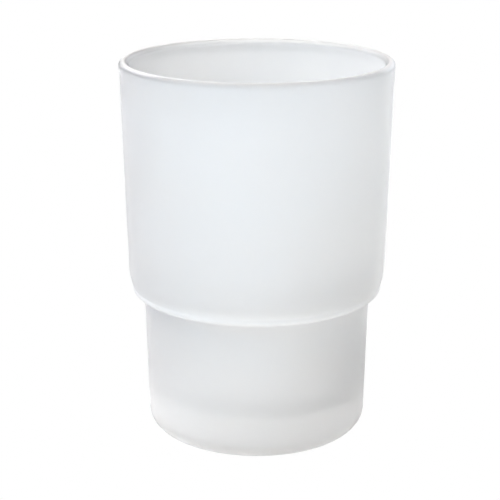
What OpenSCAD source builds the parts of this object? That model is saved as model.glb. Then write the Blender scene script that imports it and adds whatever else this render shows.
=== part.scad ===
// Bathroom tumbler: one thick satin glass, moulded in a single piece.
// A tapered bowl stands on a narrower foot. The step between them has a flat
// underside, so the glass also hangs by its step in a wall holder's ring.
// Millimetres, +Z up. The origin is the middle of the plane that the glass stands on.

/* [Overall] */
// Height from the surface it stands on to the top of the rim
total_h = 100; // [85:1:130]
// Height of the step's flat underside above the base
ledge_h = 38.3; // [30:0.1:50]

/* [Bowl] */
// Outside diameter of the bowl's straight wall, carried on up to the rim's height
bowl_top_d = 71.2; // [68.6:0.1:80]
// Outside diameter of the bowl where its straight wall starts to curve in to the step
bowl_low_d = 68.4; // [67:0.1:71]
// Thickness of the bowl's wall
bowl_wall_t = 2.3; // [1.8:0.1:3]
// How far the fire-rounded rim swells past the wall, inside and out
rim_swell = 0.1; // [0.05:0.05:0.4]
// Height over which the wall grows into that swelling
rim_swell_h = 2.5; // [1:0.1:6]

/* [Outside of the step] */
// Radius of the large curve at the bottom of the bowl
shoulder_r = 14; // [9:0.5:18]
// Height of that curve, from the step's underside to the end of the straight wall
shoulder_h = 6.6; // [5:0.1:8]
// Radius of the moulded bead round the step's edge
bead_r = 1.25; // [0.8:0.05:1.6]
// How far that bead stands out of the large curve
bead_proud = 0.4; // [0.1:0.05:0.8]
// Radius of the hollow that blends the bead's upper side into the curve
bead_blend_r = 1; // [0.4:0.1:2]
// Radius of the small fillet between the step's underside and the foot
ledge_fillet_r = 0.6; // [0.2:0.1:0.9]

/* [Inside of the step] */
// Height of the inside slope's lower end above the step's underside
slope_low_h = 0.8; // [0:0.1:3]
// Height of the inside slope's upper end above the step's underside
slope_top_h = 9.6; // [7:0.1:14]
// Radius that rounds the slope's lower end, where the glass turns outwards
slope_low_r = 6; // [3:0.5:9]
// Radius that rounds the slope's upper end, where the wall goes on up
slope_top_r = 12; // [5:0.5:16]

/* [Foot] */
// How far the foot's wall lies in from the bowl's lower end, at the step's underside
step_w = 4; // [3.4:0.1:7]
// How far the foot's wall draws in from the step down to the base
foot_draft = 0.9; // [0:0.1:2]
// Thickness of the foot's wall
foot_wall_t = 3; // [2.4:0.1:4]
// Radius of the rounded edge between the foot's wall and the base
base_edge_r = 4.8; // [2:0.1:7]
// Thickness of the heavy floor at its rim
floor_t = 8.5; // [6:0.1:14]
// Radius of the inside corner between the floor and the foot's wall
floor_corner_r = 5.5; // [3:0.1:9]
// Width of the flat ring that the glass stands on, inside its rounded edge
stand_w = 4.5; // [2:0.1:8]
// Depth of the shallow hollow inside that ring, at its middle
hollow_h = 0.8; // [0.3:0.1:2]

/* [Hidden] */
// Degrees of a round stretch that each of its sides spans
side_angle = 6;
// Sides along each of the rim's two swellings, and along the hollow under the base
swell_sides = 8;
hollow_sides = 8;
// Sides of the full turn
$fn = 180;

// Corners of the outline, as [radius, height]
wall_top = [bowl_top_d / 2, total_h];
wall_low = [bowl_low_d / 2, ledge_h + shoulder_h];
foot_top = [wall_low.x - step_w, ledge_h];
foot_low = [foot_top.x - foot_draft, 0];

// The large curve's centre lies square to the wall's lower end, so the two run smoothly together
shoulder_mid = wall_low + shoulder_r * inwards(wall_low, wall_top);

// The bead touches the plane of the step's underside, and stands bead_proud out of the large curve
bead_z = ledge_h + bead_r;
bead_reach = shoulder_r - bead_r + bead_proud;
bead_mid = [shoulder_mid.x + sqrt(bead_reach ^ 2 - (shoulder_mid.y - bead_z) ^ 2), bead_z];
blend_mid = upper_meet(shoulder_mid, shoulder_r + bead_blend_r, bead_mid, bead_r + bead_blend_r);

// The rim is a full round on the middle of the wall
rim_r = bowl_wall_t / 2 + rim_swell;
rim_z = total_h - rim_r;
rim_mid = on_wall(rim_z) - [bowl_wall_t / 2, 0];

// The inside walls follow the outside ones
bowl_inside = [bowl_wall_t, 0];
foot_inside = [foot_wall_t, 0];
slope_top = on_wall(ledge_h + slope_top_h) - bowl_inside;
slope_low = along(foot_low, foot_top, ledge_h + slope_low_h) - foot_inside;
floor_corner = along(foot_low, foot_top, floor_t) - foot_inside;
floor_mid = [0, floor_t];

// The hollow under the base is a slice off a large ball
hollow_r = foot_low.x - base_edge_r - stand_w;
hollow_ball_r = (hollow_r ^ 2 + hollow_h ^ 2) / (2 * hollow_h);
hollow_mid = [0, hollow_h - hollow_ball_r];
hollow_angle = asin(hollow_r / hollow_ball_r);

// The direction from one point to another, and the one square to it on the left
function heading(from, to) = (to - from) / norm(to - from);
function inwards(from, to) = let (way = heading(from, to)) [-way.y, way.x];

// The point at a given height on the straight line through two points
function along(low, high, height) =
    low + (high - low) * (height - low.y) / (high.y - low.y);
function on_wall(height) = along(wall_low, wall_top, height);

// The upper of the two points that lie at given distances from two centres
function upper_meet(mid_a, reach_a, mid_b, reach_b) =
    let (
        gap = norm(mid_b - mid_a),
        on = (gap ^ 2 + reach_a ^ 2 - reach_b ^ 2) / (2 * gap),
        off = sqrt(reach_a ^ 2 - on ^ 2)
    )
    mid_a + on * heading(mid_a, mid_b) + off * inwards(mid_a, mid_b);

// Points on the circle round mid from an angle through a sweep, both in degrees
function arc(mid, r, start, sweep, sides = 0) =
    let (n = sides > 0 ? sides : ceil(abs(sweep) / side_angle))
    [for (i = [0 : n]) let (a = start + sweep * i / n) mid + r * [cos(a), sin(a)]];

// The same from one point of the circle to another, the short way round
function arc_between(mid, from, to) =
    let (
        a = from - mid,
        b = to - mid
    )
    arc(mid, norm(a), atan2(a.y, a.x), atan2(cross(a, b), a * b));

// The arc that rounds the corner between the points before and after it
function rounded(before, corner, after, r) =
    let (
        back = heading(corner, before),
        on = heading(corner, after),
        half_angle = acos(back * on) / 2,
        mid = corner + (back + on) / norm(back + on) * r / sin(half_angle),
        touch = r / tan(half_angle)
    )
    arc_between(mid, corner + touch * back, corner + touch * on);

// One side of the rim's swelling: a half wave that starts at the wall and ends at the round.
// The side lies inset from the outside wall, and out is 1 or -1 for the way that it swells.
function swelling(inset, out) = [
    for (i = [0 : swell_sides - 1])
        let (share = i / swell_sides)
        on_wall(rim_z - rim_swell_h * (1 - share))
            + [out * rim_swell * (1 - cos(180 * share)) / 2 - inset, 0]
];
function reversed(points) = [for (i = [len(points) - 1 : -1 : 0]) points[i]];

// The outside of the glass, from the middle of its base up to the rim
outside = concat(
    arc(hollow_mid, hollow_ball_r, 90, -hollow_angle, hollow_sides),
    rounded([hollow_r, 0], foot_low, foot_top, base_edge_r),
    rounded(foot_low, foot_top, [bead_mid.x, ledge_h], ledge_fillet_r),
    arc_between(bead_mid, bead_mid - [0, bead_r],
                bead_mid + bead_r * heading(bead_mid, blend_mid)),
    arc_between(blend_mid, blend_mid + bead_blend_r * heading(blend_mid, bead_mid),
                blend_mid + bead_blend_r * heading(blend_mid, shoulder_mid)),
    arc_between(shoulder_mid, shoulder_mid + shoulder_r * heading(shoulder_mid, blend_mid),
                wall_low),
    swelling(0, 1)
);

// The inside, from the rim down to the middle of the floor
inside = concat(
    reversed(swelling(bowl_wall_t, -1)),
    rounded(rim_mid - bowl_inside / 2, slope_top, slope_low, slope_top_r),
    rounded(slope_top, slope_low, floor_corner, slope_low_r),
    rounded(slope_low, floor_corner, floor_mid, floor_corner_r),
    [floor_mid]
);

module tumbler_glass() {
    color([0.9, 0.93, 0.96, 0.8])
        rotate_extrude()
            polygon(concat(outside, arc(rim_mid, rim_r, 0, 180), inside));
}

tumbler_glass();
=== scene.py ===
# %% [markdown]
# # A satin glass tumbler
# This lesson dresses the CAD model of a bathroom tumbler: one thick glass, moulded in a
# single piece, with a tapered bowl, a step and a narrower foot. The CAD box is kept so that
# the two can be compared.

# %% Bring in the CAD frame
import math

import bpy
import numpy as np
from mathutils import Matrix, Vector


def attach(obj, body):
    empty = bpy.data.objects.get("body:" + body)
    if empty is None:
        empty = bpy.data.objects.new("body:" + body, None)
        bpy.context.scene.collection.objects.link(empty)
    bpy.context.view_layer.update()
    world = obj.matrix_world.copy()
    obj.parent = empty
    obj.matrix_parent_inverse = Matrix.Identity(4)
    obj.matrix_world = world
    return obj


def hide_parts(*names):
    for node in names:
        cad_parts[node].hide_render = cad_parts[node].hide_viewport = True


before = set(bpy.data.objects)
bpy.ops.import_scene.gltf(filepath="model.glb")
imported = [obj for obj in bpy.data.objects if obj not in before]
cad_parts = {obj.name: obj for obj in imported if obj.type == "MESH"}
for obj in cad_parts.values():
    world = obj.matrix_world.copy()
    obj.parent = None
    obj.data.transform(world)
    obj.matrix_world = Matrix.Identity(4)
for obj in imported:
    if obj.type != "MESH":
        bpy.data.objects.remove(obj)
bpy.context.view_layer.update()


# %% [markdown]
# ## The section of the glass
# A pressed glass is round, so its whole shape is one section turned about the upright axis.
# The section could be drawn by hand with a spline, but then it would only be about right.
# Here it is straight walls joined by true arcs, from the same named sizes as the CAD part,
# with more points on each arc, so that the light runs smoothly over the step and the rim.

# %% Sizes of the section, in millimetres
total_h, ledge_h = 100.0, 38.3
bowl_top_r, bowl_low_r, bowl_wall_t = 35.6, 34.2, 2.3
rim_swell, rim_swell_h = 0.1, 2.5
shoulder_r, shoulder_h = 14.0, 6.6
bead_r, bead_proud, bead_blend_r, ledge_fillet_r = 1.25, 0.4, 1.0, 0.6
slope_low_h, slope_top_h, slope_low_r, slope_top_r = 0.8, 9.6, 6.0, 12.0
step_w, foot_draft, foot_wall_t, base_edge_r = 4.0, 0.9, 3.0, 4.8
floor_t, floor_corner_r, stand_w, hollow_h = 8.5, 5.5, 4.5, 0.8
print("section:", total_h, "mm tall, step at", ledge_h, "mm")


# %% Helpers for straight walls
def heading(start, end):
    """The way from one point to another: their difference over its length."""
    return (end - start) / np.linalg.norm(end - start)


def left_of(way):
    """The way turned a quarter to the left: x and y swapped, with the new x negated."""
    return np.array([-way[1], way[0]])


def along(low, high, height):
    """The point of a straight wall at a height: low plus its share of high minus low."""
    return low + (high - low) * (height - low[1]) / (high[1] - low[1])


# %% Helpers for arcs
arc_step = 4.0  # degrees of an arc between two points of the section


def arc(middle, radius, start, sweep):
    """Points on a circle: the middle plus the radius times the cosine and sine of angles
    that run evenly from start through sweep, in degrees."""
    count = max(2, math.ceil(abs(sweep) / arc_step)) + 1
    angles = np.radians(np.linspace(start, start + sweep, count))
    return middle + radius * np.stack([np.cos(angles), np.sin(angles)], axis=1)


def arc_between(middle, start, end):
    """The same arc, but from one point of the circle to another, the short way round."""
    a, b = start - middle, end - middle
    first = math.degrees(math.atan2(a[1], a[0]))
    sweep = math.degrees(math.atan2(a[0] * b[1] - a[1] * b[0], a @ b))
    return arc(middle, np.linalg.norm(a), first, sweep)


def rounded(before, corner, after, radius):
    """The arc that rounds a corner: its middle lies on the corner's bisector, the radius
    over the sine of half the angle away, and it touches each side at the radius over the
    tangent of that half."""
    back, on = heading(corner, before), heading(corner, after)
    half = math.acos(back @ on) / 2
    middle = corner + heading(np.zeros(2), back + on) * radius / math.sin(half)
    touch = radius / math.tan(half)
    return arc_between(middle, corner + touch * back, corner + touch * on)


def upper_meet(middle_a, reach_a, middle_b, reach_b):
    """The upper of the two points that lie at given distances from two middles, by the
    law of cosines."""
    gap = np.linalg.norm(middle_b - middle_a)
    on = (gap**2 + reach_a**2 - reach_b**2) / (2 * gap)
    off = math.sqrt(reach_a**2 - on**2)
    way = heading(middle_a, middle_b)
    return middle_a + on * way + off * left_of(way)


# %% Corners of the walls
wall_top = np.array([bowl_top_r, total_h])
wall_low = np.array([bowl_low_r, ledge_h + shoulder_h])
foot_top = np.array([bowl_low_r - step_w, ledge_h])
foot_low = np.array([bowl_low_r - step_w - foot_draft, 0.0])
bowl_in, foot_in = np.array([bowl_wall_t, 0.0]), np.array([foot_wall_t, 0.0])
slope_top = along(wall_low, wall_top, ledge_h + slope_top_h) - bowl_in
slope_low = along(foot_low, foot_top, ledge_h + slope_low_h) - foot_in
floor_corner = along(foot_low, foot_top, floor_t) - foot_in
floor_mid = np.array([0.0, floor_t])
print("bowl", 2 * wall_top[0], "mm across at the top, foot", 2 * foot_low[0], "mm at the base")

# %% Middles of the arcs
shoulder_mid = wall_low + shoulder_r * left_of(heading(wall_low, wall_top))
bead_z = ledge_h + bead_r
bead_reach = shoulder_r - bead_r + bead_proud
bead_x = shoulder_mid[0] + math.sqrt(bead_reach**2 - (shoulder_mid[1] - bead_z) ** 2)
bead_mid = np.array([bead_x, bead_z])
blend_mid = upper_meet(shoulder_mid, shoulder_r + bead_blend_r, bead_mid, bead_r + bead_blend_r)

rim_r = bowl_wall_t / 2 + rim_swell
rim_z = total_h - rim_r
rim_mid = along(wall_low, wall_top, rim_z) - bowl_in / 2

hollow_r = foot_low[0] - base_edge_r - stand_w
hollow_ball_r = (hollow_r**2 + hollow_h**2) / (2 * hollow_h)
hollow_mid = np.array([0.0, hollow_h - hollow_ball_r])
hollow_angle = math.degrees(math.asin(hollow_r / hollow_ball_r))
print("bead at", bead_mid.round(3), "rim middle at", rim_mid.round(3))


# %% The outline's stretches
swell_sides = 12  # short sides along each of the rim's two swellings


def swelling(inset, out):
    """The wall's side where it grows into the rim: a half cosine wave, which starts flat
    on the wall and ends flat at the rim's round."""
    share = np.linspace(0.0, 1.0, swell_sides + 1)[:-1]
    height = rim_z - rim_swell_h * (1 - share)
    side = np.stack([along(wall_low, wall_top, z) for z in height])
    side[:, 0] += out * rim_swell * (1 - np.cos(np.pi * share)) / 2 - inset
    return side


outside = np.vstack([
    arc(hollow_mid, hollow_ball_r, 90.0, -hollow_angle),
    rounded(np.array([hollow_r, 0.0]), foot_low, foot_top, base_edge_r),
    rounded(foot_low, foot_top, np.array([bead_x, ledge_h]), ledge_fillet_r),
    arc_between(bead_mid, bead_mid - [0.0, bead_r],
                bead_mid + bead_r * heading(bead_mid, blend_mid)),
    arc_between(blend_mid, blend_mid + bead_blend_r * heading(blend_mid, bead_mid),
                blend_mid + bead_blend_r * heading(blend_mid, shoulder_mid)),
    arc_between(shoulder_mid, shoulder_mid + shoulder_r * heading(shoulder_mid, blend_mid),
                wall_low),
    swelling(0.0, 1),
])
inside = np.vstack([
    swelling(bowl_wall_t, -1)[::-1],
    rounded(rim_mid - bowl_in / 2, slope_top, slope_low, slope_top_r),
    rounded(slope_top, slope_low, floor_corner, slope_low_r),
    rounded(slope_low, floor_corner, floor_mid, floor_corner_r),
    [floor_mid],
])
print("outside of", len(outside), "points and inside of", len(inside))

# %% Join the stretches
wall_step = 1.6  # millimetres between two points of a straight wall
same_point = 1e-6  # millimetres below which two points are one


def filled(points, step):
    """The same line with even points on its long sides, none longer than the step."""
    gaps = np.linalg.norm(np.diff(points, axis=0), axis=1)
    parts = np.maximum(1, np.ceil(gaps / step)).astype(int)
    first = np.repeat(np.arange(len(gaps)), parts)
    share = np.concatenate([np.arange(n) / n for n in parts])[:, None]
    between = points[first] * (1 - share) + points[first + 1] * share
    return np.vstack([between, points[-1:]])


joined = np.vstack([outside, arc(rim_mid, rim_r, 0.0, 180.0), inside])
moved_on = np.linalg.norm(np.diff(joined, axis=0), axis=1) > same_point
section = filled(joined[np.concatenate([[True], moved_on])], wall_step)
section[[0, -1], 0] = 0.0
print("section of", len(section), "points, widest", round(2 * section[:, 0].max(), 3), "mm")

# %% [markdown]
# ## Turn the section
# The surface is a grid with two parameters: how far along the section, and how far round.
# A Screw or Spin tool would make the same shape, with doubled points on the axis to merge.
# Worked out as whole arrays, each end of the section becomes one point on the axis, the
# last column joins the first, and every face points out of the glass.

# %% The turned glass as arrays
around = 240  # points of the full turn
mm = 0.001  # metres


def turned(line, count):
    """Points and faces of a line turned about the upright axis. A point at radius r and
    angle a is at r cos a, r sin a. The line starts and ends on the axis."""
    angle = np.arange(count) * 2 * np.pi / count
    r, z = line[1:-1, 0, None], line[1:-1, 1, None]
    rows = np.stack([r * np.cos(angle), r * np.sin(angle), z + 0 * angle], axis=2)
    points = np.vstack([[[0, 0, line[0, 1]]], rows.reshape(-1, 3), [[0, 0, line[-1, 1]]]])
    here = np.arange(count)
    after = (here + 1) % count
    low = 1 + np.arange(len(line) - 3)[:, None] * count
    quads = np.stack([low + here, low + after, low + count + after, low + count + here], axis=2)
    last = 1 + (len(line) - 3) * count
    bottom = np.stack([np.zeros(count, int), after + 1, here + 1], axis=1)
    top = np.stack([last + here, last + after, np.full(count, len(points) - 1)], axis=1)
    return points, quads.reshape(-1, 4), bottom, top


points, quads, bottom, top = turned(section * mm, around)
print(len(points), "points,", len(quads), "quads")


# %% Put the arrays into a mesh
def mesh_of(name, points, *groups):
    """A mesh from an array of points and arrays of faces. Each group holds faces with the
    same count of corners; a face's first corner is the sum of the corners before it."""
    mesh = bpy.data.meshes.new(name)
    corners = np.concatenate([group.ravel() for group in groups])
    sizes = np.concatenate([np.full(len(group), group.shape[1]) for group in groups])
    mesh.vertices.add(len(points))
    mesh.vertices.foreach_set("co", points.astype(np.float32).ravel())
    mesh.loops.add(len(corners))
    mesh.loops.foreach_set("vertex_index", corners.astype(np.int32))
    mesh.polygons.add(len(sizes))
    mesh.polygons.foreach_set("loop_start", (np.cumsum(sizes) - sizes).astype(np.int32))
    mesh.polygons.foreach_set("loop_total", sizes.astype(np.int32))
    mesh.polygons.foreach_set("use_smooth", np.ones(len(sizes), bool))
    mesh.update(calc_edges=True)
    return mesh


glass_mesh = mesh_of("turned_glass", points, quads, bottom, top)
turned_glass = bpy.data.objects.new("turned_glass", glass_mesh)
bpy.context.collection.objects.link(turned_glass)
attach(turned_glass, "root")
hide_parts("tumbler_glass")
print("turned_glass:", len(glass_mesh.polygons), "faces, valid:", not glass_mesh.validate())

# %% [markdown]
# ## Where the glass is rough and white, and where shade is painted
# The glass is taken to be etched in acid, which leaves a fine matt skin, but not the same one
# everywhere. A wide soft white band runs along the bead. The rim, taken to be rounded in a
# flame, is clearer, with the clearest line round its outer edge and a whiter crest; its inner
# side is painted darker, as painted shade. Below it the outside is a little clearer. Round the
# base the outside is clearer and rougher, and the corner of the floor is whiter and painted
# darker, as painted shade in that corner. These numbers were tuned until
# the render came near the photo's tones, so they are no measures of a real skin.
# Such zones could be painted by hand on the points. Worked out from the distance along the
# section instead, they are exact and the same all the way round.

# %% Distances along the section
height = section[:, 1]
run = np.concatenate([[0.0], np.cumsum(np.linalg.norm(np.diff(section, axis=0), axis=1))])
rim_at = run[np.argmax(height)]
bead_at = run[np.argmin(np.linalg.norm(section - bead_mid - [bead_r, 0], axis=1))]
from_rim, from_bead = run - rim_at, run - bead_at
on_inside, on_outside = run > rim_at, run <= rim_at
print("rim top at", round(rim_at, 1), "mm and bead at", round(bead_at, 1), "mm along the section")


def band(distance, half_width, soft):
    """1 within the half width and 0 beyond it, with a smooth cubic step between."""
    share = np.clip((np.abs(distance) - half_width) / soft, 0.0, 1.0)
    return 1 - share * share * (3 - 2 * share)


# %% The finish of the walls and of the zones
# The walls have one number outside and one inside, and change over in the last rim_change
# millimetres before the rim's top. A zone's share is a band: the distance from its middle,
# half its width and the width of its soft edge, in millimetres. Where the share is 1, the
# zone's numbers take the place of the walls'. A later zone goes over an earlier one.
rim_change = 1.5
outside_share = 1 - band(np.minimum(from_rim, 0.0), 0.0, rim_change)
# The third number scales the colour: 1 is the glass's own white, and below 1 it is painted shade.
walls = {"roughness": (0.5, 0.4), "whiteness": (0.5, 0.4), "painted_shade": (1.0, 1.0)}
zones = {
    "bead": dict(share=on_outside * band(from_bead + 0.8, 0.8, 3.2), whiteness=0.72),
    # the floor's corner: a whiter skin, and its colour darkened to 0.84 as painted shade in the
    # corner
    "floor_corner": dict(share=on_inside * band(height - 13.0, 1.8, 2.2),
                         whiteness=0.55, painted_shade=0.84),
    "base": dict(share=on_outside * band(height, 3.0, 4.0), roughness=0.65, whiteness=0.3),
    "wall_top": dict(share=on_outside * band(height - 97.0, 2.0, 8.0), whiteness=0.38),
    "rim": dict(share=band(from_rim, 1.6, 1.0), whiteness=0.25),
    # painted shade: the colour of the rim's inner side is darkened to 0.65
    "rim_inner_side_painted_shade": dict(share=band(from_rim - 1.2, 0.4, 0.6), painted_shade=0.65),
    "rim_crest": dict(share=band(from_rim, 0.2, 0.5), whiteness=0.6),
    "rim_outer_line": dict(share=band(from_rim + 1.15, 0.3, 0.55), roughness=0.4, whiteness=0.1),
}
print("zones:", ", ".join(zones))


# %% Put the numbers on the points
def finish_of(kind):
    """One number for each point of the section: the walls' inside number plus the outside
    share of the step to their outside one, then for each zone in turn the value plus the
    zone's share of the step to its own number."""
    wall_outside, wall_inside = walls[kind]
    value = wall_inside + outside_share * (wall_outside - wall_inside)
    for zone in zones.values():
        if kind in zone:
            value = value + zone["share"] * (zone[kind] - value)
    return value


for kind in walls:
    value = finish_of(kind)
    layer = glass_mesh.attributes.new(kind, "FLOAT", "POINT")
    all_round = np.concatenate([value[:1], np.repeat(value[1:-1], around), value[-1:]])
    layer.data.foreach_set("value", all_round.astype(np.float32))
    print(kind, "runs from", round(float(value.min()), 2), "to", round(float(value.max()), 2))

# %% [markdown]
# ## The satin finish
# Etched glass lets light through but blurs it, and throws a part of it back from its white
# skin. A glass shader mixed with a diffuse one would show that. One Principled shader does
# it alone: its transmission is the share that goes through, its roughness is the blur, and
# the rest is white.

# %% Start the satin glass
index_of_glass = 1.5  # how strongly glass bends light
satin_glass = bpy.data.materials.new("satin_glass")
satin_glass.use_nodes = True
nodes, links = satin_glass.node_tree.nodes, satin_glass.node_tree.links
skin = nodes["Principled BSDF"]
skin.inputs["IOR"].default_value = index_of_glass
glass_mesh.materials.append(satin_glass)
print("satin_glass bends light by an index of", index_of_glass)

# %% Helpers for patterns
place = nodes.new("ShaderNodeTexCoord")


def attribute(name):
    """A node that reads a point attribute."""
    node = nodes.new("ShaderNodeAttribute")
    node.attribute_name = name
    return node.outputs["Fac"]


def noise(size, detail):
    """Noise on the glass's own coordinates. Its scale is one over the size of a blotch."""
    node = nodes.new("ShaderNodeTexNoise")
    node.inputs["Scale"].default_value = 1 / size
    node.inputs["Detail"].default_value = detail
    links.new(place.outputs["Object"], node.inputs["Vector"])
    return node.outputs["Fac"]


# %% Helpers for sums
def math_node(operation, first, second):
    """A Math node on two inputs, each of them a socket or a number."""
    node = nodes.new("ShaderNodeMath")
    node.operation = operation
    for socket, value in zip(node.inputs, (first, second)):
        if isinstance(value, (int, float)):
            socket.default_value = value
        else:
            links.new(value, socket)
    return node.outputs["Value"]


def swung(base, pattern, swing):
    """The base plus the pattern's departure from its middle, one half, times the swing."""
    departure = math_node("SUBTRACT", pattern, 0.5)
    return math_node("ADD", base, math_node("MULTIPLY", departure, swing))


# %% [markdown]
# ## Clouds, grain and waves in the finish
# Acid doesn't bite evenly, so the skin has faint clouds about a fingertip wide, where it is a
# little rougher and whiter. Close up it has specks of about a millimetre and a grain of a
# third of one. And pressed glass is never quite true: its surface has slow waves. A picture of
# frosted glass could hold the first three, but noise on the glass's own coordinates has no
# seam and is sharp at any distance.

# %% Clouds and specks
cloud_size, speck_size = 0.016, 0.0012  # metres
rough_swing, white_swing, speck_swing = 0.12, 0.16, 0.08
clouds = noise(cloud_size, detail=2.0)
specks = noise(speck_size, detail=1.0)
links.new(swung(attribute("roughness"), clouds, rough_swing), skin.inputs["Roughness"])
white_share = swung(swung(attribute("whiteness"), clouds, white_swing), specks, speck_swing)
links.new(math_node("SUBTRACT", 1.0, white_share), skin.inputs["Transmission Weight"])
print("clouds of", cloud_size * 1000, "mm and specks of", speck_size * 1000, "mm")

# %% Colour: white, a trace cooler in the clouds, times the painted shade
cool = nodes.new("ShaderNodeMix")
cool.data_type = "RGBA"
cool.inputs["A"].default_value = (1.0, 1.0, 1.0, 1.0)
cool.inputs["B"].default_value = (0.98, 0.99, 1.0, 1.0)
links.new(clouds, cool.inputs["Factor"])
# The scale is painted shade: below 1 it darkens the floor's corner and the rim's inner side.
shade = nodes.new("ShaderNodeVectorMath")
shade.operation = "SCALE"
links.new(cool.outputs["Result"], shade.inputs[0])
links.new(attribute("painted_shade"), shade.inputs["Scale"])
links.new(shade.outputs["Vector"], skin.inputs["Base Color"])
print("colour from", len(nodes), "nodes so far")

# %% Waves and grain
wave_size, grain_size = 0.03, 0.0003  # metres


def bump(pattern, depth, strength, under=None):
    """A Bump node, which tilts the surface by the slope of the pattern times the depth in
    metres. It goes on top of another one if that one's output is given."""
    node = nodes.new("ShaderNodeBump")
    node.inputs["Distance"].default_value = depth
    node.inputs["Strength"].default_value = strength
    links.new(pattern, node.inputs["Height"])
    if under:
        links.new(under, node.inputs["Normal"])
    return node.outputs["Normal"]


waves = bump(noise(wave_size, detail=0.0), depth=0.0004, strength=0.5)
grain = bump(noise(grain_size, detail=1.0), depth=0.00003, strength=0.3, under=waves)
links.new(grain, skin.inputs["Normal"])
print("satin_glass:", len(nodes), "nodes")

# %% [markdown]
# ## The stage
# The photo's ground is pure white without a shadow, as a cut-out picture has. With ground
# that white for the glass too, and the same lamps, the glass came out 25 of 255 too
# light. So the camera sees white paper and the glass sees a dimmer one. A Light Path node
# tells the two apart.


# %% Two looks in one
def camera_sees(tree, plain, shown):
    """Mixes two shaders of a node tree: the camera sees the second, all else the first."""
    path = tree.nodes.new("ShaderNodeLightPath")
    mix = tree.nodes.new("ShaderNodeMixShader")
    tree.links.new(path.outputs["Is Camera Ray"], mix.inputs[0])
    tree.links.new(plain, mix.inputs[1])
    tree.links.new(shown, mix.inputs[2])
    return mix.outputs["Shader"]


# %% White floor
floor_reach, floor_z = 6.0, -0.0002  # metres; it lies just below the glass
corner_signs = np.array([[-1, -1], [1, -1], [1, 1], [-1, 1]])
floor_points = np.hstack([corner_signs * floor_reach, np.full((4, 1), floor_z)])
floor_mesh = mesh_of("floor", floor_points, np.array([[0, 1, 2, 3]]))
floor = bpy.data.objects.new("floor", floor_mesh)
bpy.context.collection.objects.link(floor)

paper_grey, paper_roughness = 0.6, 0.35  # as the glass sees it
paper = bpy.data.materials.new("white_paper")
paper.use_nodes = True
paper_tree = paper.node_tree
sheet = paper_tree.nodes["Principled BSDF"]
sheet.inputs["Base Color"].default_value = (paper_grey, paper_grey, paper_grey, 1.0)
sheet.inputs["Roughness"].default_value = paper_roughness
glow = paper_tree.nodes.new("ShaderNodeEmission")
seen_paper = camera_sees(paper_tree, sheet.outputs["BSDF"], glow.outputs["Emission"])
paper_tree.links.new(seen_paper, paper_tree.nodes["Material Output"].inputs["Surface"])
floor_mesh.materials.append(paper)
print("floor:", 2 * floor_reach, "m wide")

# %% Surroundings
room_light = 0.25  # how bright the glass sees the room, where the camera sees 1
world = bpy.data.worlds.new("studio")
world.use_nodes = True
bpy.context.scene.world = world
world_tree = world.node_tree
room = world_tree.nodes["Background"]
room.inputs["Color"].default_value = (1.0, 1.0, 1.0, 1.0)
room.inputs["Strength"].default_value = room_light
backdrop = world_tree.nodes.new("ShaderNodeBackground")
backdrop.inputs["Color"].default_value = (1.0, 1.0, 1.0, 1.0)
seen_room = camera_sees(world_tree, room.outputs["Background"], backdrop.outputs["Background"])
world_tree.links.new(seen_room, world_tree.nodes["World Output"].inputs["Surface"])
print("room light:", room_light)

# %% [markdown]
# ## Soft light
# A glass shows what stands round it, so it is lit by large soft lamps, not by small hard ones.
# The photo shows none of its lamps, so these were fitted to its tones. Light adds up, so the
# glass was rendered under one lamp at a time, from dozens of trial places. The few kept here
# are a choice whose light, each times its strength, comes near the photo's tones. The finish
# of the rim and the base changed a little after that, and all lamps were then made a trace
# warmer. The lamps behind shine through the frosted glass and the others on it. Most
# stand on the left, as the photo's bowl is brighter on that side. An area lamp shines along
# its own -Z.


# %% Lamps
def lamp_of(name, shape, width, depth, rgb):
    """An area lamp that the camera doesn't see. The power is the mean of the three numbers,
    in watts, and the colour is each of them over that mean."""
    lamp = bpy.data.lights.new(name, "AREA")
    lamp.shape, lamp.size, lamp.size_y = shape, width, depth
    lamp.energy = sum(rgb) / 3
    lamp.color = [part / lamp.energy for part in rgb]
    holder = bpy.data.objects.new(name, lamp)
    holder.visible_camera = False
    bpy.context.collection.objects.link(holder)
    print(name, round(lamp.energy, 3), "W")
    return holder


def facing(compass, up):
    """The way to a lamp from its compass angle, 0 behind the glass and 90 on its right, and
    the angle that it stands up, in degrees: (sin c cos u, cos c cos u, sin u)."""
    c, u = math.radians(compass), math.radians(up)
    return Vector((math.sin(c) * math.cos(u), math.cos(c) * math.cos(u), math.sin(u)))


# %% Softboxes
lamp_away = 1.5  # metres from the point that the lamps look at
aim = Vector((0.0, 0.0, 0.03))
softboxes = {  # compass angle and angle up in degrees, width in metres, power in three colours
    "back_low": (30, 14, 0.72, (3.88, 4.04, 4.46)),
    "back_left": (330, 34, 0.80, (7.05, 7.07, 7.13)),
    "left": (300, 34, 0.80, (3.68, 3.23, 3.76)),
    "left_high": (270, 56, 0.90, (8.58, 8.08, 6.83)),
    "front_left": (240, 34, 0.80, (2.56, 3.54, 4.65)),
    "front_high": (180, 56, 0.90, (2.96, 3.64, 4.06)),
    "top": (180, 82, 1.20, (9.91, 8.18, 7.23)),
}
for name, (compass, up, width, rgb) in softboxes.items():
    softbox = lamp_of(name, "DISK", width, width, rgb)
    softbox.location = facing(compass, up) * lamp_away + aim
    softbox.rotation_euler = facing(compass, up).to_track_quat("Z", "Y").to_euler()
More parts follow.
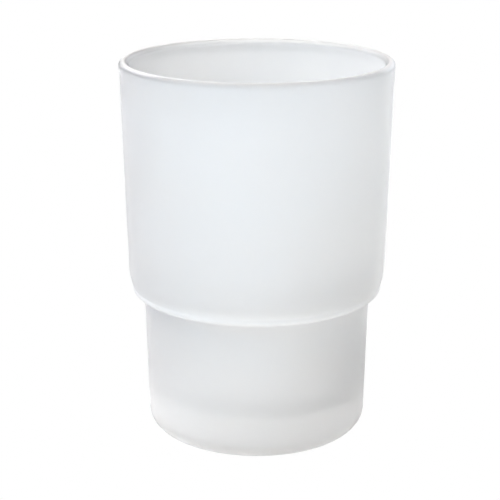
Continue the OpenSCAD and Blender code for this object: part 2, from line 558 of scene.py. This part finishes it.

# %% [markdown]
# ## Light from the floor
# White paper near the glass throws light back up. The floor that the glass sees is dim, so
# three flat panels stand in for bright patches of paper, and a small lamp lies under the base,
# as on a light table. The same fit picked them. The small lamp lights the thick floor: without
# it the foot's lower end came out 14 to 40 of 255 darker. Each panel lies a little above the
# one before: with all three in one plane the bowl came out a trace darker, as if
# they hid each other.

# %% Panels on the floor
panel_gap = 0.0002  # metres that each panel lies above the one before
panels = {  # compass angle, metres away, width, depth, power in three colours
    "panel_near_front": (176, 0.305, 0.3, 0.5, (0.272, 0.253, 0.215)),
    "panel_front": (180, 0.44, 1.2, 0.7, (1.26, 1.60, 1.95)),
    "panel_back_right": (45, 0.44, 1.2, 0.7, (2.28, 2.39, 2.38)),
}
for level, (name, (compass, away, width, depth, rgb)) in enumerate(panels.items()):
    panel = lamp_of(name, "RECTANGLE", width, depth, rgb)
    panel.location = facing(compass, 0) * away + Vector((0.0, 0.0, panel_gap * (level + 1)))
    panel.rotation_euler = (math.pi, 0.0, math.radians(-compass))

# %% Lamp under the base
under_width = 0.09
under = lamp_of("under_base", "DISK", under_width, under_width, (0.0121, 0.0118, 0.0112))
under.location = (0.0, 0.0, floor_z / 2)
under.rotation_euler = (math.pi, 0.0, 0.0)

# %% [markdown]
# ## The camera
# The photo shows how far the rim's ellipse opens and how much the far side shrinks. Those two
# give the camera's angle and, more loosely, its distance. Guessing by eye would drift, so the
# outline was fitted at set distances. From 0.35 to 0.5 m, for a glass 100 mm tall, the fit is
# nearly as good, and 0.39 m with 17 degrees above the glass was kept. From there a ring at the
# base looks 7 percent smaller than the same ring at the rim, so a part of the taper in the
# picture is the camera's.

# %% Camera
frame_px, focal_px, sensor_mm = 500, 1453.5, 36.0
camera_data = bpy.data.cameras.new("camera")
camera_data.sensor_width = sensor_mm
camera_data.lens = focal_px / frame_px * sensor_mm
camera = bpy.data.objects.new("camera", camera_data)
camera.location = (-0.00179, -0.3730, 0.1623)
tilt = 73.02  # degrees up from looking straight down
camera.rotation_euler = (math.radians(tilt), 0.0, 0.0)
bpy.context.collection.objects.link(camera)
bpy.context.scene.camera = camera
bpy.context.scene.view_settings.view_transform = "Standard"
print("lens:", round(camera_data.lens, 1), "mm")
